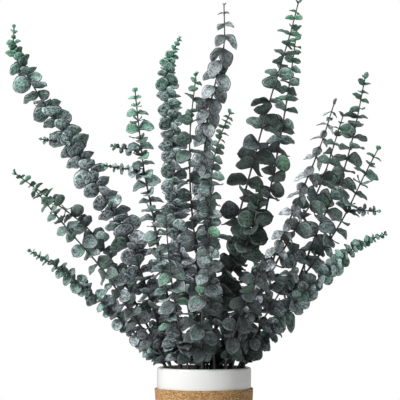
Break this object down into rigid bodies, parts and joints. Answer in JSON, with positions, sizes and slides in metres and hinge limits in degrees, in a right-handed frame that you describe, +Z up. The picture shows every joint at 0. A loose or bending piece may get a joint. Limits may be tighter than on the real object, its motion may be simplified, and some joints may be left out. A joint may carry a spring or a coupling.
{
  "type": "eucalyptus branch arrangement in a pot",
  "caption": "Bunch of preserved eucalyptus branches with round dusty green leaves, standing in a white glazed pot with a cork sleeve.",
  "frame": {"origin": "centre of the pot's flat foot, on the surface it stands on", "axes": "+Z up, the front of the bunch facing -Y, +X to the right as seen from the front"},
  "size_m": [0.3812, 0.2499, 0.4783],
  "materials": {
    "glaze": "smooth white glaze",
    "cork": "matt mottled cork",
    "leaf_dusty": "matt dusty leaf, green at the tip",
    "leaf_green": "matt green leaf",
    "leaf_grey": "matt grey leaf",
    "leaf_dark": "matt dark grey-green leaf"
  },
  "bodies": {
    "root": {"pot": "glaze", "sleeve": "cork", "branch_far_left": "leaf_dusty", "branch_left_tall": "leaf_dusty", "branch_left_low": "leaf_green", "branch_right_low": "leaf_green", "branch_left_tiered": "leaf_green", "branch_mid_tall": "leaf_grey", "branch_right_tall": "leaf_dark", "branch_right_second": "leaf_dark", "branch_right_outer": "leaf_dark", "branch_left_upper": "leaf_dark", "branch_left_second": "leaf_dark", "branch_right_narrow": "leaf_grey", "branch_right_inner": "leaf_dark", "branch_right_small": "leaf_green", "branch_mid_green": "leaf_dark", "branch_mid_small": "leaf_dark", "branch_centre_dark": "leaf_dusty", "branch_front_left": "leaf_dark", "branch_front_mid": "leaf_dark", "branch_front_right": "leaf_dark", "branch_side_right": "leaf_dark", "branch_back_left": "leaf_dark", "branch_back_mid": "leaf_dark", "branch_back_right": "leaf_dark"}
  },
  "joints": []
}
